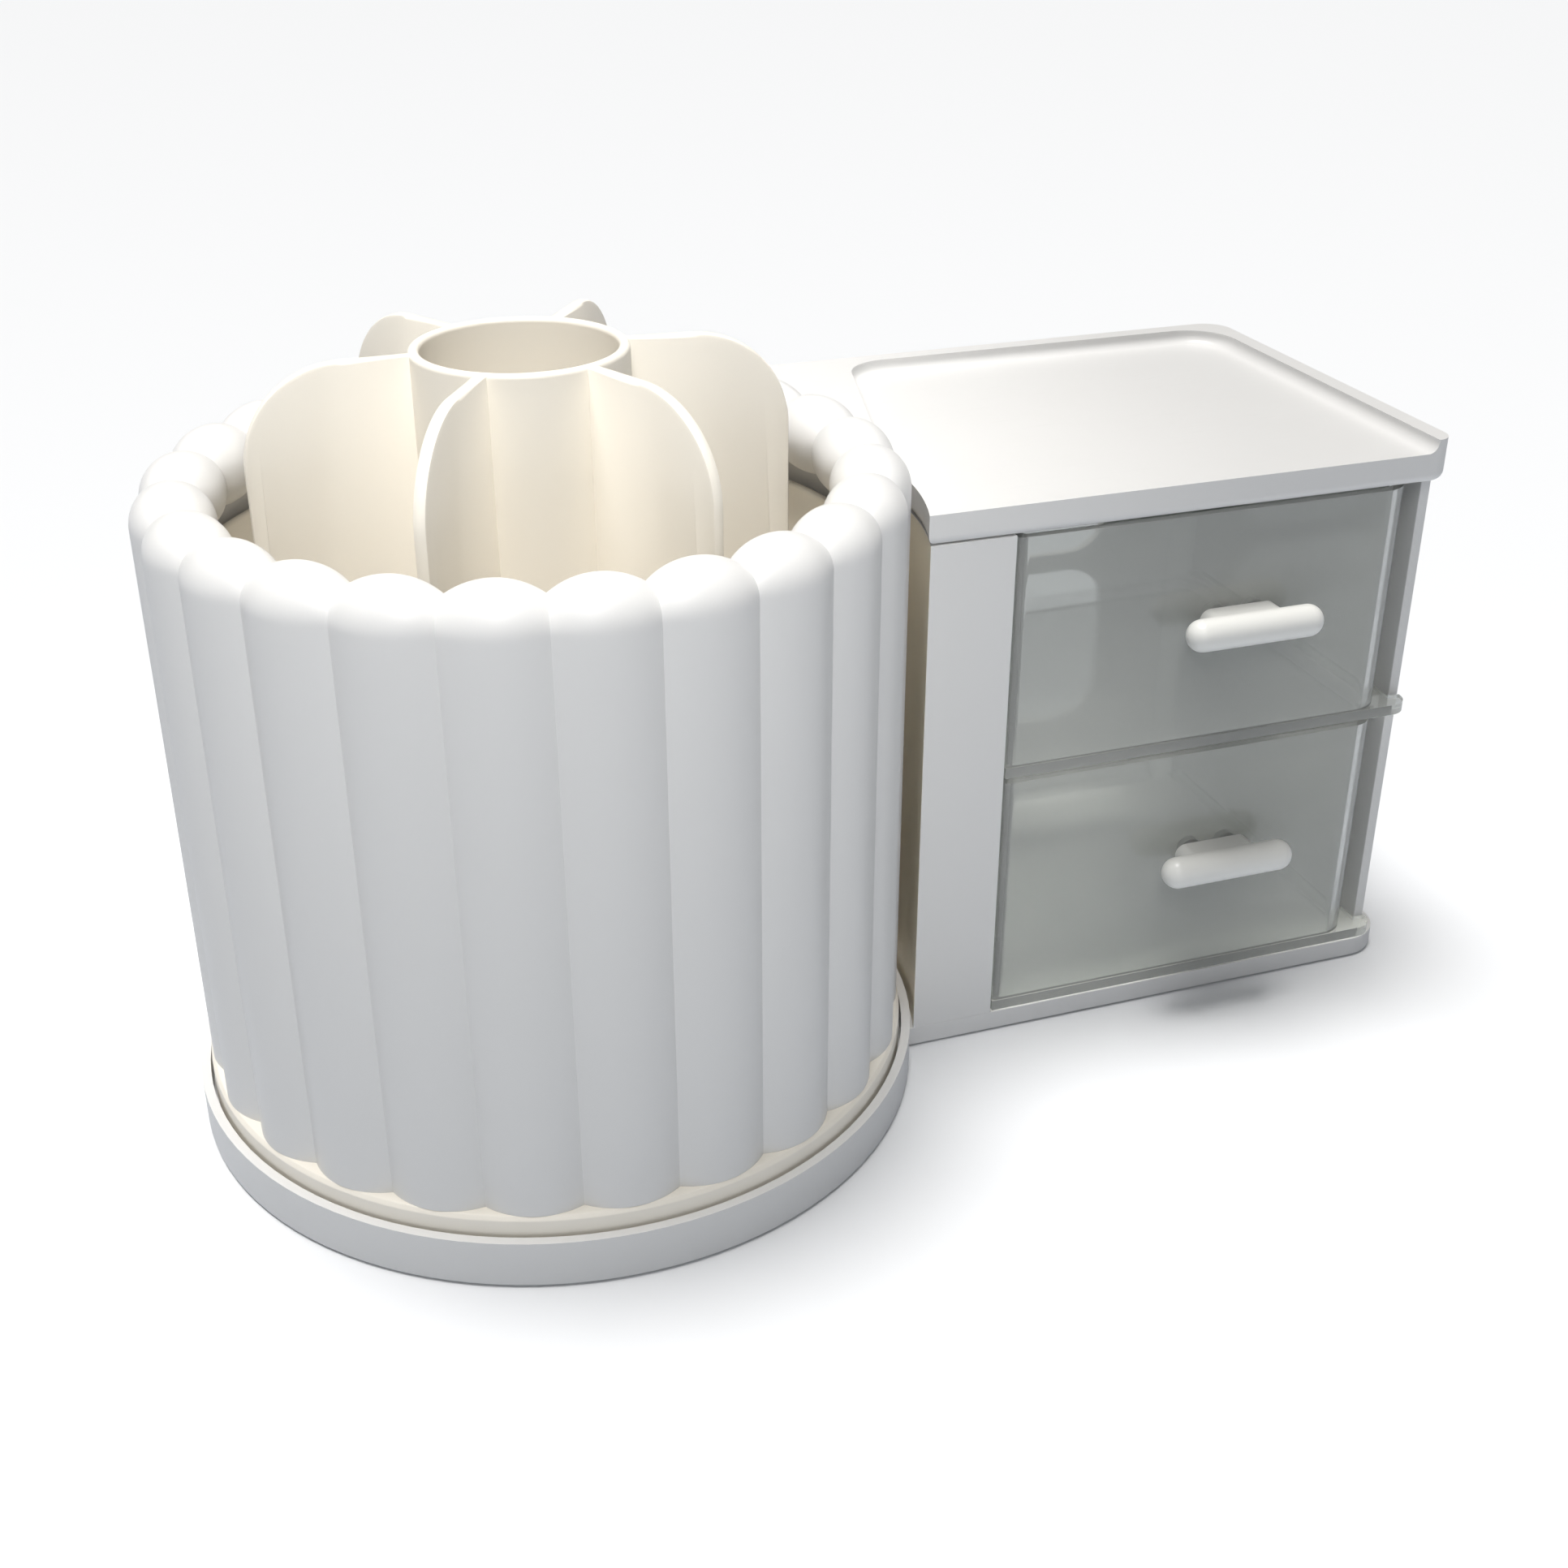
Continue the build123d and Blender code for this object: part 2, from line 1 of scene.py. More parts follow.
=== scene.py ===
import json
import math
import bmesh
import bpy
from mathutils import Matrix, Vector


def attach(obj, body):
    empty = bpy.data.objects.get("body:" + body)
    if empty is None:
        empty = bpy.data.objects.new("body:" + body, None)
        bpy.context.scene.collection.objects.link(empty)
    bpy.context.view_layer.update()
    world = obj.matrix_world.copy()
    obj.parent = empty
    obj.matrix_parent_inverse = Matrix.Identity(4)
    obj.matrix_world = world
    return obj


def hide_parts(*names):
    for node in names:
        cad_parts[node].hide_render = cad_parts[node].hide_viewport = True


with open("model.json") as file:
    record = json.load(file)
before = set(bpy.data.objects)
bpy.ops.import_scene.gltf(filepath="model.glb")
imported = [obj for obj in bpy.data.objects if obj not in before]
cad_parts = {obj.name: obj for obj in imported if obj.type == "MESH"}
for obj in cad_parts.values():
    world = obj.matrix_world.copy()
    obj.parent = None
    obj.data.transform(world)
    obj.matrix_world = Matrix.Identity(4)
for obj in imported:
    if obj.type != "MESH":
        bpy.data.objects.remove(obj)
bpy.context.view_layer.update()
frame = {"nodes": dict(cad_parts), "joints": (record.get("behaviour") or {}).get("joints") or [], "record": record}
nodes = frame["nodes"]
scene = bpy.context.scene
mm = 0.001
turning = next(j for j in frame["joints"] if j["name"] == "barrel_turn")
barrelAxis = Vector((turning["pos_m"][0], turning["pos_m"][1], 0))  # middle of the barrel on the floor
print("frame loaded:", len(nodes), "CAD nodes")


# shader groups shared by the finishes

def addNode(tree, kind, **settings):
    node = tree.nodes.new(kind)
    for key, value in settings.items():
        setattr(node, key, value)
    return node


def fill(node, values):
    for key, value in values.items():
        node.inputs[key].default_value = value


def newGroup(name, inputs, outputs):
    group = bpy.data.node_groups.new(name, "ShaderNodeTree")
    for label, kind, value in inputs:
        socket = group.interface.new_socket(label, in_out="INPUT", socket_type="NodeSocket" + kind)
        if value is not None:
            socket.default_value = value
    for label, kind in outputs:
        group.interface.new_socket(label, in_out="OUTPUT", socket_type="NodeSocket" + kind)
    return group, addNode(group, "NodeGroupInput"), addNode(group, "NodeGroupOutput")


noiseMiddle = 0.5
sinkHeight = 2.2  # slow sink marks against the fine grain


def mouldedGrainGroup():
    # fine spark-eroded grain, slow sink marks and a slight tone drift of injection-moulded plastic
    group, taken, given = newGroup(
        "mouldedGrain",
        [("Vector", "Vector", None), ("Colour", "Color", (0.9, 0.9, 0.9, 1)),
         ("Tint", "Color", (0.8, 0.8, 0.8, 1)), ("Drift", "Float", 0.1), ("Grain", "Float", 900.0),
         ("Gloss", "Float", 0.4), ("Gloss Change", "Float", 0.08)],
        [("Colour", "Color"), ("Roughness", "Float"), ("Height", "Float")],
    )
    link = group.links.new
    slow = addNode(group, "ShaderNodeTexNoise")
    fill(slow, {"Scale": 26.0, "Detail": 3.0, "Roughness": 0.55})
    link(taken.outputs["Vector"], slow.inputs["Vector"])
    fine = addNode(group, "ShaderNodeTexNoise")
    fill(fine, {"Detail": 2.0, "Roughness": 0.6})
    link(taken.outputs["Vector"], fine.inputs["Vector"])
    link(taken.outputs["Grain"], fine.inputs["Scale"])
    amount = addNode(group, "ShaderNodeMath", operation="MULTIPLY")
    link(slow.outputs["Fac"], amount.inputs[0])
    link(taken.outputs["Drift"], amount.inputs[1])
    tone = addNode(group, "ShaderNodeMix", data_type="RGBA")
    link(amount.outputs[0], tone.inputs[0])
    link(taken.outputs["Colour"], tone.inputs[6])
    link(taken.outputs["Tint"], tone.inputs[7])
    link(tone.outputs[2], given.inputs["Colour"])
    swing = addNode(group, "ShaderNodeMath", operation="SUBTRACT")
    link(fine.outputs["Fac"], swing.inputs[0])
    fill(swing, {1: noiseMiddle})
    rough = addNode(group, "ShaderNodeMath", operation="MULTIPLY_ADD")
    link(swing.outputs[0], rough.inputs[0])
    link(taken.outputs["Gloss Change"], rough.inputs[1])
    link(taken.outputs["Gloss"], rough.inputs[2])
    link(rough.outputs[0], given.inputs["Roughness"])
    height = addNode(group, "ShaderNodeMath", operation="MULTIPLY_ADD")
    link(slow.outputs["Fac"], height.inputs[0])
    fill(height, {1: sinkHeight})
    link(fine.outputs["Fac"], height.inputs[2])
    link(height.outputs[0], given.inputs["Height"])
    return group


def handlingMarksGroup():
    # hair-thin scratches everywhere, and dust settled on what faces up
    group, taken, given = newGroup(
        "handlingMarks",
        [("Vector", "Vector", None), ("Scratches", "Float", 0.2), ("Dust", "Float", 0.1)],
        [("Scratch", "Float"), ("Dust", "Float")],
    )
    link = group.links.new
    lay = addNode(group, "ShaderNodeMapping")
    fill(lay, {"Rotation": (0.3, 0.7, 0.5), "Scale": (1.0, 14.0, 1.0)})
    link(taken.outputs["Vector"], lay.inputs["Vector"])
    hair = addNode(group, "ShaderNodeTexNoise")
    fill(hair, {"Scale": 90.0, "Detail": 1.0, "Distortion": 0.4})
    link(lay.outputs[0], hair.inputs["Vector"])
    thin = addNode(group, "ShaderNodeMapRange")
    fill(thin, {"From Min": 0.66, "From Max": 0.72})
    link(hair.outputs["Fac"], thin.inputs["Value"])
    scratch = addNode(group, "ShaderNodeMath", operation="MULTIPLY")
    link(thin.outputs[0], scratch.inputs[0])
    link(taken.outputs["Scratches"], scratch.inputs[1])
    link(scratch.outputs[0], given.inputs["Scratch"])
    cloud = addNode(group, "ShaderNodeTexNoise")
    fill(cloud, {"Scale": 60.0, "Detail": 6.0, "Roughness": 0.7})
    link(taken.outputs["Vector"], cloud.inputs["Vector"])
    settled = addNode(group, "ShaderNodeMapRange")
    fill(settled, {"From Min": 0.45, "From Max": 0.8})
    link(cloud.outputs["Fac"], settled.inputs["Value"])
    facing = addNode(group, "ShaderNodeNewGeometry")
    parts = addNode(group, "ShaderNodeSeparateXYZ")
    link(facing.outputs["Normal"], parts.inputs[0])
    upward = addNode(group, "ShaderNodeMapRange")
    fill(upward, {"From Min": 0.5, "From Max": 1.0})
    link(parts.outputs["Z"], upward.inputs["Value"])
    lying = addNode(group, "ShaderNodeMath", operation="MULTIPLY")
    link(settled.outputs[0], lying.inputs[0])
    link(upward.outputs[0], lying.inputs[1])
    dust = addNode(group, "ShaderNodeMath", operation="MULTIPLY")
    link(lying.outputs[0], dust.inputs[0])
    link(taken.outputs["Dust"], dust.inputs[1])
    link(dust.outputs[0], given.inputs["Dust"])
    return group


mouldedGrain = mouldedGrainGroup()
handlingMarks = handlingMarksGroup()


def newFinish(name, look):
    # new material with the shared grain in the colours and gloss of its look
    material = bpy.data.materials.new(name)
    material.use_nodes = True
    tree = material.node_tree
    skin = tree.nodes["Principled BSDF"]
    place = addNode(tree, "ShaderNodeTexCoord")
    grain = addNode(tree, "ShaderNodeGroup", node_tree=mouldedGrain)
    fill(grain, {"Colour": (*look["colour"], 1), "Tint": (*look["tint"], 1), "Drift": look["drift"],
                 "Grain": look["grain"], "Gloss": look["gloss"], "Gloss Change": look["glossChange"]})
    tree.links.new(place.outputs["Object"], grain.inputs["Vector"])
    return material, skin, place, grain


def addMarks(tree, skin, place, grain, look):
    # scratches make the skin rougher; the node that comes back also has the dust
    marks = addNode(tree, "ShaderNodeGroup", node_tree=handlingMarks)
    fill(marks, {"Scratches": look["scratches"], "Dust": look["dust"]})
    tree.links.new(place.outputs["Object"], marks.inputs["Vector"])
    rough = addNode(tree, "ShaderNodeMath", operation="ADD", use_clamp=True)
    tree.links.new(grain.outputs["Roughness"], rough.inputs[0])
    tree.links.new(marks.outputs["Scratch"], rough.inputs[1])
    tree.links.new(rough.outputs[0], skin.inputs["Roughness"])
    return marks


# opaque moulded plastics; bumpDepth and glowDepth are in millimetres
whiteLook = {"colour": (0.79, 0.787, 0.78), "tint": (0.735, 0.73, 0.73), "drift": 0.12, "grain": 1400.0,
             "gloss": 0.36, "glossChange": 0.10, "scratches": 0.12, "dust": 0.10,
             "dustColour": (0.7, 0.69, 0.67), "bump": 0.25, "bumpDepth": 0.02, "ior": 1.5,
             "glow": 0.0, "glowColour": (1.0, 0.9, 0.75), "glowDepth": 1.0}
creamLook = dict(whiteLook, colour=(0.965, 0.92, 0.83), tint=(0.94, 0.87, 0.76), gloss=0.44)
handleLook = dict(whiteLook, colour=(0.86, 0.86, 0.83), tint=(0.8, 0.8, 0.77), gloss=0.3, scratches=0.2)
cageLook = dict(whiteLook, colour=(0.06, 0.06, 0.065), tint=(0.1, 0.1, 0.1), gloss=0.55)
rubberLook = dict(whiteLook, colour=(0.42, 0.42, 0.41), tint=(0.5, 0.5, 0.48), gloss=0.75, grain=2600.0,
                  bump=0.5)
# painted warm bounce light: cream colour and subsurface glow stand in for warm light reflected into the shaded gap
# beside the barrel
warmBounceLook = dict(whiteLook, colour=(0.95, 0.86, 0.70), tint=(0.9, 0.79, 0.62), glow=0.3, glowDepth=2.0)


def mouldedFinish(name, look):
    material, skin, place, grain = newFinish(name, look)
    tree = material.node_tree
    link = tree.links.new
    marks = addMarks(tree, skin, place, grain, look)
    dusty = addNode(tree, "ShaderNodeMix", data_type="RGBA")
    fill(dusty, {7: (*look["dustColour"], 1)})
    link(marks.outputs["Dust"], dusty.inputs[0])
    link(grain.outputs["Colour"], dusty.inputs[6])
    link(dusty.outputs[2], skin.inputs["Base Color"])
    bump = addNode(tree, "ShaderNodeBump")
    fill(bump, {"Strength": look["bump"], "Distance": look["bumpDepth"] * mm})
    link(grain.outputs["Height"], bump.inputs["Height"])
    link(bump.outputs[0], skin.inputs["Normal"])
    fill(skin, {"IOR": look["ior"], "Subsurface Weight": look["glow"],
                "Subsurface Radius": look["glowColour"], "Subsurface Scale": look["glowDepth"] * mm})
    return material


# see-through styrene, and a painted highlight on its rounded edges: a paler, less clear smoke there
smokeLook = {"colour": (0.865, 0.873, 0.852), "tint": (0.82, 0.845, 0.815), "drift": 0.5, "grain": 300.0,
             "gloss": 0.05, "glossChange": 0.03, "scratches": 0.12, "dust": 0.0, "edge": (0.3, 0.32, 0.31),
             "edgeShare": 0.85, "edgePower": 4, "shadow": (0.985, 0.99, 0.985), "clear": 0.78, "ior": 1.46}
rimHighlightLook = dict(smokeLook, colour=(0.95, 0.96, 0.945), tint=(0.9, 0.92, 0.9), edgeShare=0.3, gloss=0.2,
               clear=0.3)


def smokeFinish(name, look):
    # clear body with a smoke tint; shadow rays pass so that the inside stays lit
    material, skin, place, grain = newFinish(name, look)
    tree = material.node_tree
    link = tree.links.new
    fill(skin, {"IOR": look["ior"], "Transmission Weight": look["clear"], "Metallic": 0.0})
    addMarks(tree, skin, place, grain, look)
    facing = addNode(tree, "ShaderNodeLayerWeight")  # the tint deepens where the wall is seen edge-on
    steep = addNode(tree, "ShaderNodeMath", operation="POWER")
    link(facing.outputs["Facing"], steep.inputs[0])
    fill(steep, {1: look["edgePower"]})
    amount = addNode(tree, "ShaderNodeMath", operation="MULTIPLY")
    link(steep.outputs[0], amount.inputs[0])
    fill(amount, {1: look["edgeShare"]})
    tone = addNode(tree, "ShaderNodeMix", data_type="RGBA")
    fill(tone, {7: (*look["edge"], 1)})
    link(amount.outputs[0], tone.inputs[0])
    link(grain.outputs["Colour"], tone.inputs[6])
    link(tone.outputs[2], skin.inputs["Base Color"])
    clear = addNode(tree, "ShaderNodeBsdfTransparent")
    fill(clear, {0: (*look["shadow"], 1)})
    rays = addNode(tree, "ShaderNodeLightPath")
    choose = addNode(tree, "ShaderNodeMixShader")
    link(rays.outputs["Is Shadow Ray"], choose.inputs[0])
    link(skin.outputs[0], choose.inputs[1])
    link(clear.outputs[0], choose.inputs[2])
    link(choose.outputs[0], tree.nodes["Material Output"].inputs["Surface"])
    return material


# zinc-plated screws and polished balls
zincLook = {"colour": (0.8, 0.8, 0.8), "tint": (0.68, 0.68, 0.7), "drift": 0.35, "grain": 2400.0,
            "gloss": 0.34, "glossChange": 0.12}
ballLook = dict(zincLook, colour=(0.72, 0.72, 0.73), tint=(0.65, 0.65, 0.67), gloss=0.12)


def steelFinish(name, look):
    material, skin, _, grain = newFinish(name, look)
    link = material.node_tree.links.new
    link(grain.outputs["Colour"], skin.inputs["Base Color"])
    link(grain.outputs["Roughness"], skin.inputs["Roughness"])
    fill(skin, {"Metallic": 1.0})
    return material


finishes = {
    "white_plastic": mouldedFinish("whitePlastic", whiteLook),
    "cream_plastic": mouldedFinish("creamPlastic", creamLook),
    "handle_plastic": mouldedFinish("handlePlastic", handleLook),
    "cage_plastic": mouldedFinish("cagePlastic", cageLook),
    "foot_rubber": mouldedFinish("footRubber", rubberLook),
    "smoke_plastic": smokeFinish("smokePlastic", smokeLook),
    "screw_steel": steelFinish("zincedSteel", zincLook),
    "bearing_steel": steelFinish("ballSteel", ballLook),
}
# painted highlight: the drawers' rounded edges get a paler, cloudier smoke
smokeRim = smokeFinish("smokeRim", rimHighlightLook)
hollowPlastic = mouldedFinish("hollowPlastic", warmBounceLook)  # painted warm bounce light on the cabinet's face towards the barrel, where it lies in shade
slotOf = {part["node"]: part["material_slot"] for part in frame["record"]["subparts"]}
bodyOf = {n: body for body, members in frame["record"]["behaviour"]["bodies"].items() for n in members}
print("finishes ready:", ", ".join(sorted(finishes)))


# making pieces

def finishPiece(piece, node, smoothAngle=32):
    # give a finished mesh its material, smooth shading and body, and hide the CAD node it stands in for
    mesh = piece.data
    if not mesh.materials:
        mesh.materials.append(finishes[slotOf[node]])
    if smoothAngle is not None:
        mesh.shade_smooth()
        mesh.set_sharp_from_angle(angle=math.radians(smoothAngle))
    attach(piece, bodyOf[node])
    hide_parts(node)


def settleModifiers(piece):
    # turn what the modifiers make into a plain mesh and drop them
    bpy.context.view_layer.update()
    depsgraph = bpy.context.evaluated_depsgraph_get()
    made = bpy.data.meshes.new_from_object(piece.evaluated_get(depsgraph))
    piece.modifiers.clear()
    piece.data = made
    made.name = piece.name


def newPiece(name, mesh):
    piece = bpy.data.objects.new(name, mesh)
    scene.collection.objects.link(piece)
    return piece


def pieceFrom(name, shape):
    # a bmesh becomes a piece of its own
    mesh = bpy.data.meshes.new(name)
    shape.to_mesh(mesh)
    shape.free()
    return newPiece(name, mesh)


# what a mould does to CAD edges: millimetres and degrees
softening = {"weld": 0.002, "flatAngle": 0.6, "edgeAngle": 34, "edgeSteps": 2, "browSteps": 5}


def cleanShape(mesh):
    # bmesh with doubled corners merged and flat neighbours joined
    shape = bmesh.new()
    shape.from_mesh(mesh)
    bmesh.ops.remove_doubles(shape, verts=shape.verts, dist=softening["weld"] * mm)
    flat = math.radians(softening["flatAngle"])
    bmesh.ops.dissolve_limit(shape, angle_limit=flat, verts=shape.verts, edges=shape.edges)
    return shape


def roundEdges(piece, edge, steps=softening["edgeSteps"], method="ANGLE"):
    rounding = piece.modifiers.new("rounding", "BEVEL")
    rounding.width = edge * mm
    rounding.segments = steps
    rounding.limit_method = method
    rounding.angle_limit = math.radians(softening["edgeAngle"])
    rounding.use_clamp_overlap = True
    return rounding


# fluted barrel: one rule, a lens-shaped flute that rolls over into a bead

barrel = {"Flutes": 24, "Steps": 16, "Rows": 101, "Crest": 61.2, "Depth": 2.2, "Rim": 6.6,
          "Rim Height": 108.5, "Base": 12.0, "Inside": 57.3, "Turn": -2.3}
barrelWeld = 0.004
barrelStages = {"wall": 0.2, "bead": 0.8, "ledge": 0.84, "inside": 0.94}  # share of the rows where each ends
beadTurn = 1.5 * math.pi
reachRounds = 4  # rounds in which the bead's reach settles, as it depends on itself


def calc(tree, operation, *values):
    node = addNode(tree, "ShaderNodeMath", operation=operation)
    for place, value in enumerate(values):
        if isinstance(value, (int, float)):
            node.inputs[place].default_value = value
        else:
            tree.links.new(value, node.inputs[place])
    return node.outputs[0]


def share(tree, value, low, high):
    # how far value has come from low to high, held between 0 and 1
    node = addNode(tree, "ShaderNodeMapRange")
    tree.links.new(value, node.inputs["Value"])
    fill(node, {"From Min": low, "From Max": high})
    return node.outputs[0]


def between(tree, first, second, part):
    return calc(tree, "MULTIPLY_ADD", calc(tree, "SUBTRACT", second, first), part, first)


def openTree(name, inputs):
    tree = bpy.data.node_groups.new(name, "GeometryNodeTree")
    for label, kind in [("Geometry", "Geometry"), *inputs, ("Material", "Material")]:
        tree.interface.new_socket(label, in_out="INPUT", socket_type="NodeSocket" + kind)
    tree.interface.new_socket("Geometry", in_out="OUTPUT", socket_type="NodeSocketGeometry")
    return tree, addNode(tree, "NodeGroupInput"), addNode(tree, "NodeGroupOutput")


def closeTree(tree, geometry, taken, given):
    # real geometry instead of instances, in the material that was handed in
    solid = addNode(tree, "GeometryNodeRealizeInstances")
    tree.links.new(geometry, solid.inputs[0])
    paint = addNode(tree, "GeometryNodeSetMaterial")
    tree.links.new(solid.outputs[0], paint.inputs["Geometry"])
    tree.links.new(taken.outputs["Material"], paint.inputs["Material"])
    tree.links.new(paint.outputs[0], given.inputs["Geometry"])


def flutedBarrelTree():
    kinds = [(label, "Int" if isinstance(value, int) else "Float") for label, value in barrel.items()]
    tree, taken, given = openTree("flutedBarrel", kinds)
    size = {label: taken.outputs[label] for label in barrel}
    grid = addNode(tree, "GeometryNodeMeshGrid")
    columns = calc(tree, "MULTIPLY_ADD", size["Flutes"], size["Steps"], 1)
    tree.links.new(columns, grid.inputs["Vertices X"])
    tree.links.new(size["Rows"], grid.inputs["Vertices Y"])
    fill(grid, {"Size X": 1, "Size Y": 1})
    here = addNode(tree, "GeometryNodeInputPosition")
    split = addNode(tree, "ShaderNodeSeparateXYZ")
    tree.links.new(here.outputs[0], split.inputs[0])
    along = calc(tree, "ADD", split.outputs["X"], 0.5)  # the unit grid is centred, so both run from 0 to 1
    climb = calc(tree, "ADD", split.outputs["Y"], 0.5)
    # angle inside one flute, from -half to half
    half = calc(tree, "DIVIDE", math.pi, size["Flutes"])
    count = calc(tree, "MULTIPLY_ADD", along, size["Flutes"], 0.5)
    centred = calc(tree, "SUBTRACT", calc(tree, "FRACT", count), 0.5)
    lean = calc(tree, "MULTIPLY", centred, calc(tree, "MULTIPLY", half, 2))
    # stages of the closed outline: up the wall, over the bead, out to the inner wall, down, back
    up = share(tree, climb, 0.0, barrelStages["wall"])
    over = share(tree, climb, barrelStages["wall"], barrelStages["bead"])
    outward = share(tree, climb, barrelStages["bead"], barrelStages["ledge"])
    descend = share(tree, climb, barrelStages["ledge"], barrelStages["inside"])
    back = share(tree, climb, barrelStages["inside"], 1.0)
    # radius of the flute's arc from its depth
    valley = calc(tree, "SUBTRACT", size["Crest"], size["Depth"])
    chord = calc(tree, "MULTIPLY", valley, calc(tree, "SINE", half))
    rise = calc(tree, "SUBTRACT", size["Crest"], calc(tree, "MULTIPLY", valley, calc(tree, "COSINE", half)))
    squares = calc(tree, "ADD", calc(tree, "MULTIPLY", chord, chord), calc(tree, "MULTIPLY", rise, rise))
    arc = calc(tree, "DIVIDE", squares, calc(tree, "MULTIPLY", rise, 2))
    middle = calc(tree, "SUBTRACT", size["Crest"], size["Rim"])
    unwound = calc(tree, "MULTIPLY", over, calc(tree, "SUBTRACT", 1, descend))
    turned = calc(tree, "MULTIPLY", unwound, beadTurn)
    reach = size["Rim"]
    for _ in range(reachRounds):
        out = calc(tree, "MULTIPLY_ADD", reach, calc(tree, "COSINE", turned), middle)
        aside = calc(tree, "MULTIPLY", out, calc(tree, "TANGENT", lean))
        inner = calc(tree, "SUBTRACT", calc(tree, "MULTIPLY", arc, arc), calc(tree, "MULTIPLY", aside, aside))
        depth = calc(tree, "SUBTRACT", calc(tree, "SQRT", inner), arc)
        reach = calc(tree, "ADD", depth, size["Rim"])
    out = calc(tree, "MULTIPLY_ADD", reach, calc(tree, "COSINE", turned), middle)
    radius = calc(tree, "DIVIDE", out, calc(tree, "COSINE", lean))
    outer = calc(tree, "DIVIDE", calc(tree, "ADD", middle, reach), calc(tree, "COSINE", lean))
    radius = between(tree, radius, size["Inside"], outward)
    radius = between(tree, radius, outer, back)
    height = between(tree, size["Base"], size["Rim Height"], up)
    height = calc(tree, "MULTIPLY_ADD", reach, calc(tree, "SINE", turned), height)
    height = between(tree, height, size["Base"], descend)
    angle = calc(tree, "MULTIPLY_ADD", along, 2 * math.pi, calc(tree, "RADIANS", size["Turn"]))
    join = addNode(tree, "ShaderNodeCombineXYZ")
    tree.links.new(calc(tree, "MULTIPLY", radius, calc(tree, "COSINE", angle)), join.inputs[0])
    tree.links.new(calc(tree, "MULTIPLY", radius, calc(tree, "SINE", angle)), join.inputs[1])
    tree.links.new(height, join.inputs[2])
    scaled = addNode(tree, "ShaderNodeVectorMath", operation="MULTIPLY_ADD")
    fill(scaled, {1: (mm, mm, mm), 2: barrelAxis})
    tree.links.new(join.outputs[0], scaled.inputs[0])
    place = addNode(tree, "GeometryNodeSetPosition")
    tree.links.new(grid.outputs["Mesh"], place.inputs["Geometry"])
    tree.links.new(scaled.outputs[0], place.inputs["Position"])
    merge = addNode(tree, "GeometryNodeMergeByDistance")
    fill(merge, {"Distance": barrelWeld * mm})
    tree.links.new(place.outputs[0], merge.inputs[0])
    closeTree(tree, merge.outputs[0], taken, given)
    return tree


def runTree(name, tree, values, material, spots=()):
    # run a node tree on a mesh of bare points and keep its result as a plain mesh
    piece = newPiece(name, bpy.data.meshes.new(name))
    piece.data.from_pydata(spots, [], [])
    modifier = piece.modifiers.new("maker", "NODES")
    modifier.node_group = tree
    sockets = {s.name: s.identifier for s in tree.interface.items_tree if s.in_out == "INPUT"}
    for label, value in values.items():
        modifier[sockets[label]] = value
    modifier[sockets["Material"]] = material
    settleModifiers(piece)
    return piece


def outwardNormals(piece):
    shape = bmesh.new()
    shape.from_mesh(piece.data)
    bmesh.ops.recalc_face_normals(shape, faces=shape.faces)
    shape.to_mesh(piece.data)
    shape.free()


flutedBarrel = runTree("flutedBarrel", flutedBarrelTree(), barrel, finishes["white_plastic"])
outwardNormals(flutedBarrel)
finishPiece(flutedBarrel, "fluted_barrel", 38)
print("fluted barrel:", len(flutedBarrel.data.polygons), "faces")


# one part shaped once and set on every point

def repeatedPartTree():
    # each copy has a set turn, a turn for each step and a loose one
    tree, taken, given = openTree("repeatedPart", [
        ("Part", "Object"), ("Start Turn", "Vector"), ("Step Turn", "Vector"), ("Loose Turn", "Vector"),
        ("Seed", "Int")])
    link = tree.links.new
    part = addNode(tree, "GeometryNodeObjectInfo")
    link(taken.outputs["Part"], part.inputs["Object"])
    order = addNode(tree, "GeometryNodeInputIndex")
    stepped = addNode(tree, "ShaderNodeVectorMath", operation="MULTIPLY_ADD")
    link(order.outputs[0], stepped.inputs[0])
    link(taken.outputs["Step Turn"], stepped.inputs[1])
    link(taken.outputs["Start Turn"], stepped.inputs[2])
    chance = addNode(tree, "FunctionNodeRandomValue", data_type="FLOAT")
    link(taken.outputs["Seed"], chance.inputs["Seed"])
    loose = addNode(tree, "ShaderNodeVectorMath", operation="MULTIPLY_ADD")
    link(chance.outputs[1], loose.inputs[0])
    link(taken.outputs["Loose Turn"], loose.inputs[1])
    link(stepped.outputs[0], loose.inputs[2])
    copies = addNode(tree, "GeometryNodeInstanceOnPoints")
    link(taken.outputs["Geometry"], copies.inputs["Points"])
    link(part.outputs["Geometry"], copies.inputs["Instance"])
    link(loose.outputs[0], copies.inputs["Rotation"])
    closeTree(tree, copies.outputs[0], taken, given)
    return tree


repeatedPart = repeatedPartTree()


def repeatPart(name, part, spots, material, start=(0, 0, 0), step=(0, 0, 0), loose=(0, 0, 0), seed=3):
    values = {"Part": part, "Start Turn": start, "Step Turn": step, "Loose Turn": loose, "Seed": seed}
    piece = runTree(name, repeatedPart, values, material, spots)
    bpy.data.objects.remove(part)
    return piece


# turned pieces: cream liner and centre tube

def turnedPiece(name, outline, steps=192):
    # spin a closed (radius, height) outline, in millimetres, about the barrel's axis
    corners, faces = [], []
    rows = len(outline)
    for step in range(steps):
        angle = 2 * math.pi * step / steps
        for radius, height in outline:
            spot = Vector((radius * math.cos(angle), radius * math.sin(angle), height)) * mm
            corners.append(barrelAxis + spot)
    for step in range(steps):
        after = (step + 1) % steps
        for row in range(rows):
            high = (row + 1) % rows
            faces.append((step * rows + row, after * rows + row, after * rows + high, step * rows + high))
    mesh = bpy.data.meshes.new(name)
    mesh.from_pydata(corners, [], faces)
    piece = newPiece(name, mesh)
    outwardNormals(piece)
    return piece


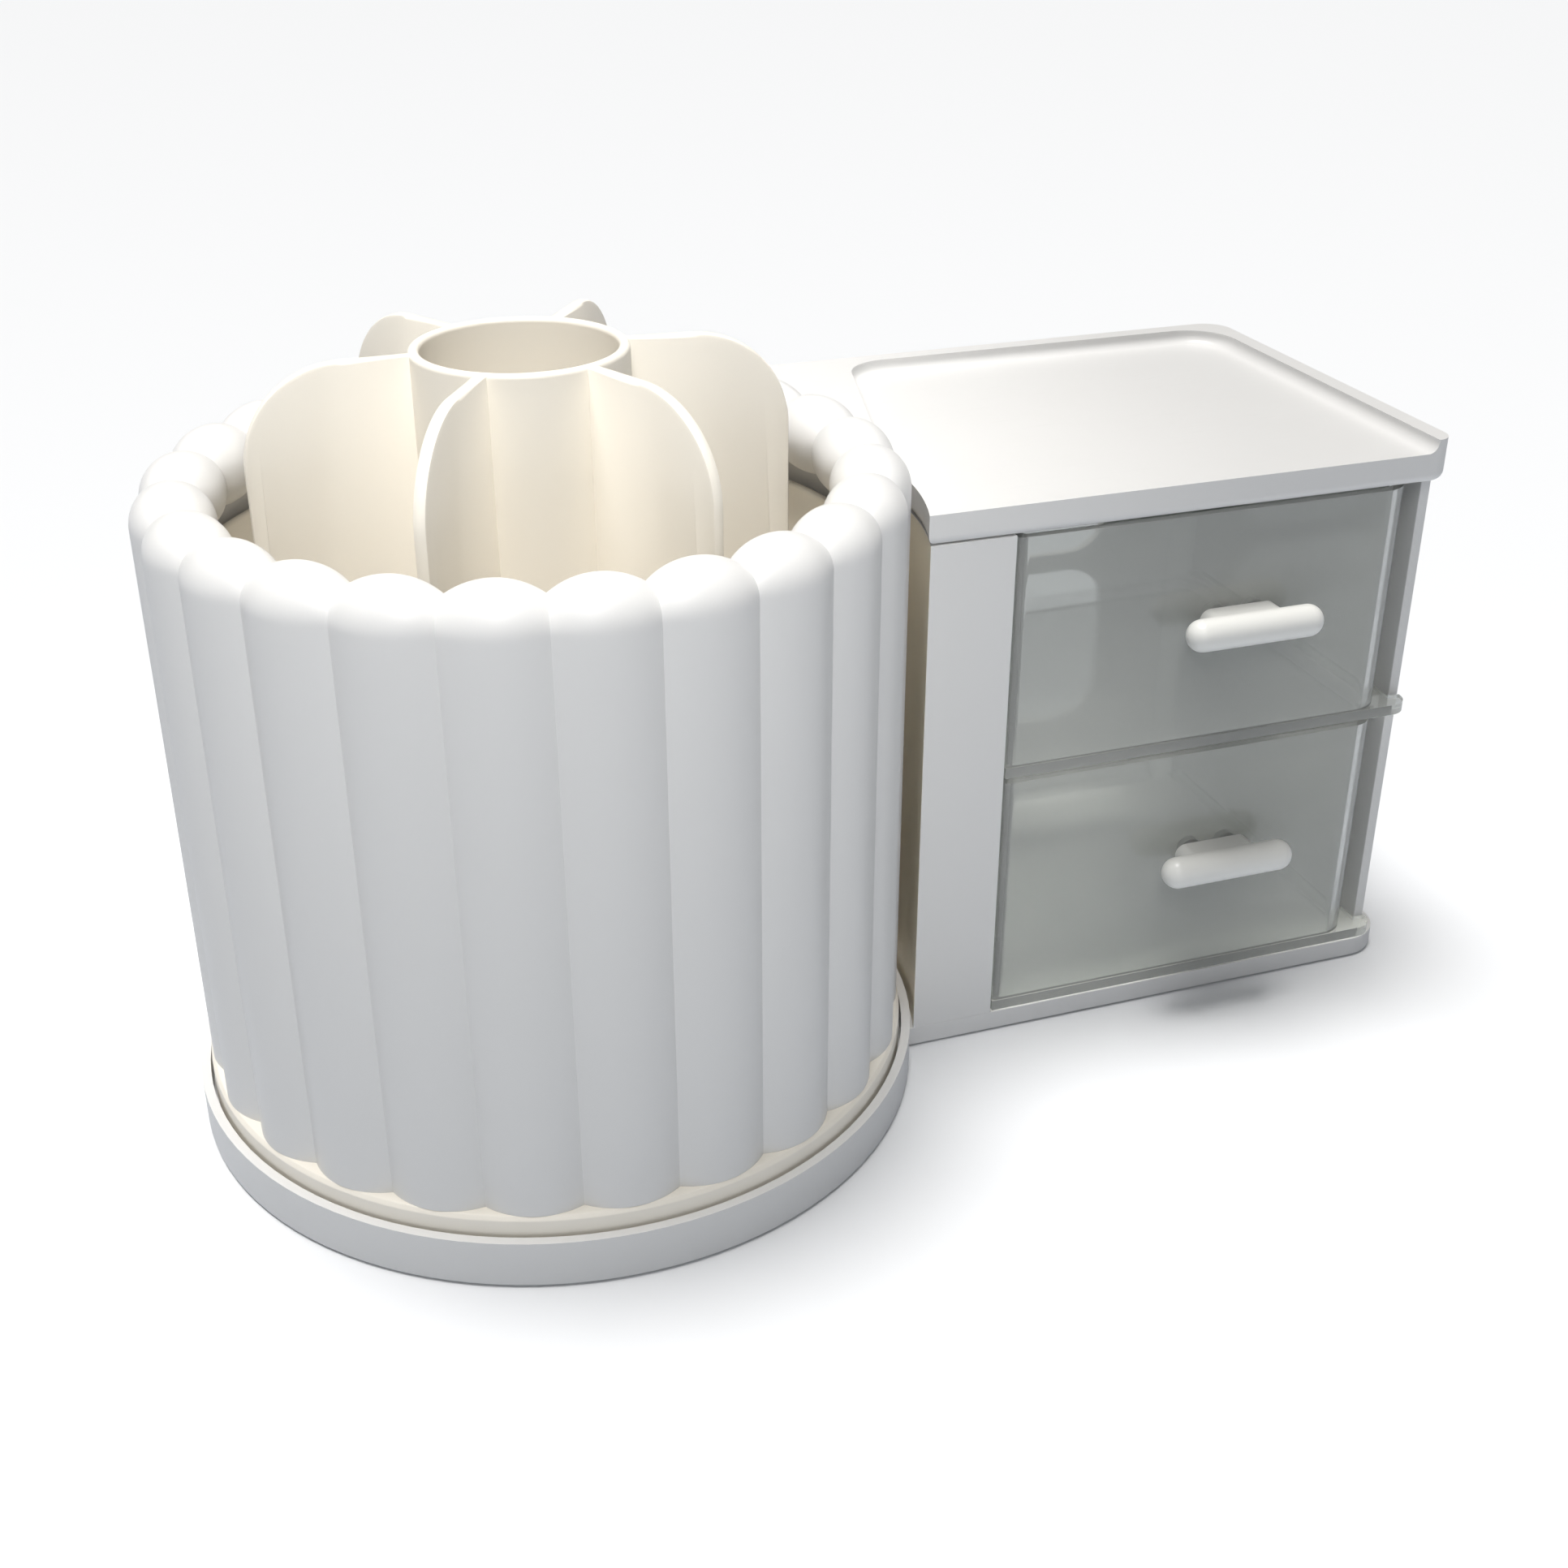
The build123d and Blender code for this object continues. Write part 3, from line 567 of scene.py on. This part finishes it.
def rounded(outline, radii, parts=5):
    # round the corners of a closed outline; radii has one number for each corner
    result = []
    for i, corner in enumerate(outline):
        here, radius = Vector(corner), radii[i]
        if radius <= 0:
            result.append(tuple(here))
            continue
        before = (Vector(outline[i - 1]) - here).normalized()
        after = (Vector(outline[(i + 1) % len(outline)]) - here).normalized()
        opening = before.angle(after)
        reach = radius / math.tan(opening / 2)
        centre = here + (before + after).normalized() * (radius / math.sin(opening / 2))
        first, last = here + before * reach - centre, here + after * reach - centre
        sweep = first.angle(last)
        for part in range(parts + 1):
            t = part / parts
            spot = (first * math.sin((1 - t) * sweep) + last * math.sin(t * sweep)) / math.sin(sweep)
            result.append(tuple(centre + spot))
    return result


liner = {"foot": 50.6, "mouth": 55.2, "wall": 1.5, "base": 12.0, "floor": 13.8, "top": 98.0, "hole": 10.5,
         "corners": (0.3, 0.6, 0.6, 0.6, 1.4, 0.3)}
linerLine = [(liner["hole"], liner["base"]), (liner["foot"], liner["base"]), (liner["mouth"], liner["top"]),
             (liner["mouth"] - liner["wall"], liner["top"]), (liner["foot"] - liner["wall"], liner["floor"]),
             (liner["hole"], liner["floor"])]
finishPiece(turnedPiece("innerLiner", rounded(linerLine, liner["corners"])), "inner_liner")

# divider: centre tube and petals

divider = {"petals": 6, "turn": -2.4, "start": 16.2, "reach": 43.2, "base": 13.8, "top": 131.9,
           "corner": 16.0, "footCorner": 0.5, "cornerSteps": 22, "wall": 2.2, "soft": 0.7,
           "tube": 17.1, "tubeWall": 1.8, "tubeTop": 132.2, "tubeSteps": 160,
           "tubeCorners": (0.3, 0.3, 0.8, 0.8)}


def petalPart(outline, wall, soft):
    # one petal standing on the x axis, its outline drawn in a little at both faces
    shape = bmesh.new()
    half, near = wall / 2, soft * 0.3
    rings = []
    for side, pull in ((-half, soft), (near - half, near), (soft - half, 0), (half - soft, 0),
                       (half - near, near), (half, soft)):
        ring = []
        for i, (x, z) in enumerate(outline):
            beforeX, beforeZ = outline[i - 1]
            afterX, afterZ = outline[(i + 1) % len(outline)]
            across = Vector((afterZ - beforeZ, 0, beforeX - afterX)).normalized()
            ring.append(shape.verts.new((Vector((x, side, z)) - across * pull) * mm))
        rings.append(ring)
    for low, high in zip(rings, rings[1:]):
        for i in range(len(outline)):
            j = (i + 1) % len(outline)
            shape.faces.new((low[i], low[j], high[j], high[i]))
    shape.faces.new(rings[0][::-1])
    shape.faces.new(rings[-1])
    bmesh.ops.recalc_face_normals(shape, faces=shape.faces)
    return pieceFrom("dividerPetal", shape)


def joinedPiece(name, pieces):
    shape = bmesh.new()
    for piece in pieces:
        shape.from_mesh(piece.data)
        bpy.data.objects.remove(piece)
    return pieceFrom(name, shape)


petalLine = rounded([(divider["start"], divider["base"]), (divider["reach"], divider["base"]),
                     (divider["reach"], divider["top"]), (divider["start"], divider["top"])],
                    (0, divider["footCorner"], divider["corner"], 0), divider["cornerSteps"])
petals = repeatPart("dividerPetals", petalPart(petalLine, divider["wall"], divider["soft"]),
                    [barrelAxis] * divider["petals"], finishes["cream_plastic"],
                    start=(0, 0, math.radians(divider["turn"])), step=(0, 0, 2 * math.pi / divider["petals"]))
bore = divider["tube"] - divider["tubeWall"]
tubeLine = rounded([(bore, divider["base"]), (divider["tube"], divider["base"]),
                    (divider["tube"], divider["tubeTop"]), (bore, divider["tubeTop"])],
                   divider["tubeCorners"])
tube = turnedPiece("dividerTube", tubeLine, divider["tubeSteps"])
finishPiece(joinedPiece("dividerInsert", [tube, petals]), "divider_insert", 40)
print("liner and divider made")


# moulded pieces that keep their CAD shape, with softened edges

softened = {
    "base_plate": ("basePlate", 0.3), "left_wall": ("leftWall", 0.2), "back_panel": ("backPanel", 0.7),
    "right_wall": ("rightWall", 0.35), "left_rail": ("leftRail", 0.25), "right_rail": ("rightRail", 0.25),
    "top_tray": ("topTray", 0.3), "turntable_plate": ("turntablePlate", 0.3), "pivot_cap": ("pivotCap", 0.3),
    "lower_drawer": ("lowerDrawer", 0.35), "upper_drawer": ("upperDrawer", 0.35),
    "lower_handle": ("lowerHandle", 0.3), "upper_handle": ("upperHandle", 0.3),
    "ball_cage": ("ballCage", 0.2), "pivot_washer": ("pivotWasher", 0.1), "pivot_screw": ("pivotScrew", 0.12),
}
brow = {"top_tray": (1.6, (103.5, 105.0)), "base_plate": (1.0, (3.9, 4.5))}  # front edge: rounding, heights
cabinetStart = 60  # the cabinet's front lies further right of the barrel's axis than this
frontSlack = 0.3
warmBounceFaces = {"reach": 65.3, "facing": 0.5}  # faces of the left wall this near to the axis that look at it get the painted warm bounce


def frontEdges(mesh, heights):
    # edges of the cabinet's front plane between two heights
    start = barrelAxis.x + cabinetStart * mm
    front = min(corner.co.y for corner in mesh.vertices if corner.co.x > start)
    low, high = heights[0] * mm, heights[1] * mm
    found = []
    for edge in mesh.edges:
        ends = [mesh.vertices[i].co for i in edge.vertices]
        if all(abs(c.y - front) < frontSlack * mm and low < c.z < high for c in ends):
            found.append(edge.index)
    return found


def softenedCopy(node, name, edge):
    mesh = nodes[node].data.copy()
    mesh.materials.clear()
    shape = cleanShape(mesh)
    shape.to_mesh(mesh)
    shape.free()
    for layer in list(mesh.attributes):
        if layer.name in ("custom_normal", "sharp_face"):
            mesh.attributes.remove(layer)
    piece = newPiece(name, mesh)
    if node in brow:
        width, heights = brow[node]
        weights = mesh.attributes.new("bevel_weight_edge", "FLOAT", "EDGE")
        for index in frontEdges(mesh, heights):
            weights.data[index].value = 1
        roundEdges(piece, width, softening["browSteps"], "WEIGHT")
    rounding = roundEdges(piece, edge)
    # the drawers' rounded edges take the painted highlight as their second material
    if slotOf[node] == "smoke_plastic":
        mesh.materials.append(finishes["smoke_plastic"])
        mesh.materials.append(smokeRim)
        rounding.material = 1
    piece.data.shade_smooth()
    even = piece.modifiers.new("evenFaces", "WEIGHTED_NORMAL")
    even.weight = 100
    even.keep_sharp = True
    settleModifiers(piece)
    finishPiece(piece, node, None)
    return piece


def paintWarmBounce(wall):
    # painted warm bounce light: cream colour on the side of the wall that the barrel turns in, a gap in shade
    wall.data.materials.append(hollowPlastic)
    for face in wall.data.polygons:
        across = Vector((face.center.x - barrelAxis.x, face.center.y, 0))
        inward = -across.normalized().dot(face.normal)
        if across.length < warmBounceFaces["reach"] * mm and inward > warmBounceFaces["facing"]:
            face.material_index = 1


for node, (name, edge) in softened.items():
    piece = softenedCopy(node, name, edge)
    # the left wall's face towards the barrel gets the painted warm bounce light
    if node == "left_wall":
        paintWarmBounce(piece)
print("moulded pieces made:", len(softened))


# parts that come several times: one is shaped, the rest are its copies; rounding and loose turn of each
repeats = {
    "rubber_feet": ("rubberFeet", 0.3, (0, 0, 0)), "bearing_balls": ("bearingBalls", None, (0, 0, 0)),
    "base_screws": ("baseScrews", 0.18, (0, 0, 3)), "barrel_screws": ("barrelScrews", 0.18, (0, 0, 3)),
    "lower_handle_screws": ("lowerHandleScrews", 0.12, (0, 3, 0)),
    "upper_handle_screws": ("upperHandleScrews", 0.12, (0, 3, 0)),
}
ballDetail = 4


def looseParts(node):
    # first part of a node about its own middle, the middles of all, and its height
    shape = cleanShape(nodes[node].data)
    groups, seen = [], set()
    for start in shape.verts:  # in the mesh's own order, so that every run gives the same order of parts
        if start in seen:
            continue
        seen.add(start)
        reached = [start]
        for corner in reached:
            for edge in corner.link_edges:
                other = edge.other_vert(corner)
                if other not in seen:
                    seen.add(other)
                    reached.append(other)
        groups.append(reached)
    middles = []
    for group in groups:
        low = Vector([min(corner.co[i] for corner in group) for i in range(3)])
        high = Vector([max(corner.co[i] for corner in group) for i in range(3)])
        middles.append((low + high) / 2)
    bmesh.ops.delete(shape, geom=[corner for group in groups[1:] for corner in group], context="VERTS")
    bmesh.ops.translate(shape, verts=shape.verts, vec=-middles[0])
    return shape, middles, high.z - low.z


def ballShape(radius):
    shape = bmesh.new()
    bmesh.ops.create_icosphere(shape, subdivisions=ballDetail, radius=radius)
    return shape


for node, (name, edge, loose) in repeats.items():
    shape, middles, height = looseParts(node)
    if edge is None:
        shape.free()
        part = pieceFrom(name + "Part", ballShape(height / 2))
    else:
        part = pieceFrom(name + "Part", shape)
        roundEdges(part, edge)
        settleModifiers(part)
    copies = repeatPart(name, part, middles, finishes[slotOf[node]], loose=loose)
    finishPiece(copies, node)
print("repeated parts made:", ", ".join(sorted(repeats)))


# camera, floor and light

photoView = {"place": (-0.11041, -0.29912, 0.21535), "yaw": 0.334, "pitch": 0.486, "lens": 45.70,
             "sensor": 36, "nearest": 0.01}
camera = bpy.data.objects.new("photoCamera", bpy.data.cameras.new("photoCamera"))
camera.data.sensor_width = photoView["sensor"]
camera.data.lens = photoView["lens"]
camera.data.clip_start = photoView["nearest"]
camera.location = photoView["place"]
camera.rotation_euler = (math.pi / 2 - photoView["pitch"], 0, -photoView["yaw"])
scene.collection.objects.link(camera)
scene.camera = camera

# the floor is paler to the camera than what it throws back, and the backdrop is seen but doesn't light
studio = {"floorSize": 8.0, "floorColour": (0.88, 0.895, 0.92), "floorBounce": (0.60, 0.63, 0.68),
          "floorRoughness": 0.9, "floorShine": 0.1,
          "sky": (0.94, 0.965, 1.0), "skyPower": 0.06, "backdrop": 0.95}
lights = {
    "ceilingGlow": {"kind": "SUN", "place": (-0.09, 0.08, 1.0), "aim": (0, 0, 0), "power": 3.2,
                    "colour": (1, 0.985, 0.96), "angle": math.radians(24)},
    "lowFill": {"kind": "AREA", "place": (-0.35, -0.85, 0.1), "aim": (0.03, 0, 0.03), "power": 0.5,
                "colour": (0.86, 0.94, 1), "shape": "DISK", "size": 0.6},
    "frontSoftbox": {"kind": "AREA", "place": (-0.28, -0.75, 0.75), "aim": (0.0, 0, 0.06), "power": 1.9,
                     "colour": (1, 0.99, 0.97), "shape": "DISK", "size": 0.45},
    "barrelGlow": {"kind": "SPOT", "place": (barrelAxis.x - 0.05, -0.26, 0.62),
                   "aim": (barrelAxis.x, 0.021, 0.13), "power": 40.0, "colour": (1, 0.985, 0.96),
                   "spot_size": math.radians(9.8), "spot_blend": 0.7, "shadow_soft_size": 0.1},
}


def makeFloor():
    mesh = bpy.data.meshes.new("studioFloor")
    half = studio["floorSize"] / 2
    corners = [(-half, -half, 0), (half, -half, 0), (half, half, 0), (-half, half, 0)]
    mesh.from_pydata(corners, [], [(0, 1, 2, 3)])
    floor = newPiece("studioFloor", mesh)
    paper = bpy.data.materials.new("floorPaper")
    paper.use_nodes = True
    tree = paper.node_tree
    skin = tree.nodes["Principled BSDF"]
    fill(skin, {"Roughness": studio["floorRoughness"], "Specular IOR Level": studio["floorShine"]})
    rays = addNode(tree, "ShaderNodeLightPath")
    tone = addNode(tree, "ShaderNodeMix", data_type="RGBA")
    fill(tone, {6: (*studio["floorBounce"], 1), 7: (*studio["floorColour"], 1)})
    tree.links.new(rays.outputs["Is Camera Ray"], tone.inputs[0])
    tree.links.new(tone.outputs[2], skin.inputs["Base Color"])
    mesh.materials.append(paper)


def makeLight(name, kind, place, aim, power, colour, **settings):
    lamp = bpy.data.lights.new(name, kind)
    lamp.energy = power
    lamp.color = colour
    for key, value in settings.items():
        setattr(lamp, key, value)
    holder = bpy.data.objects.new(name, lamp)
    holder.location = place
    holder.rotation_euler = (Vector(aim) - Vector(place)).to_track_quat("-Z", "Y").to_euler()
    scene.collection.objects.link(holder)


def makeSky():
    world = bpy.data.worlds.new("studioSky")
    world.use_nodes = True
    tree = world.node_tree
    glow = tree.nodes["Background"]
    fill(glow, {"Color": (*studio["sky"], 1), "Strength": studio["skyPower"]})
    backdrop = addNode(tree, "ShaderNodeBackground")
    fill(backdrop, {"Color": (*studio["sky"], 1), "Strength": studio["backdrop"]})
    rays = addNode(tree, "ShaderNodeLightPath")
    seen = addNode(tree, "ShaderNodeMixShader")
    tree.links.new(rays.outputs["Is Camera Ray"], seen.inputs[0])
    tree.links.new(glow.outputs[0], seen.inputs[1])
    tree.links.new(backdrop.outputs[0], seen.inputs[2])
    tree.links.new(seen.outputs[0], tree.nodes["World Output"].inputs["Surface"])
    scene.world = world


makeFloor()
for name, light in lights.items():
    makeLight(name, **light)
makeSky()
scene.view_settings.view_transform = "Standard"
print("studio ready")
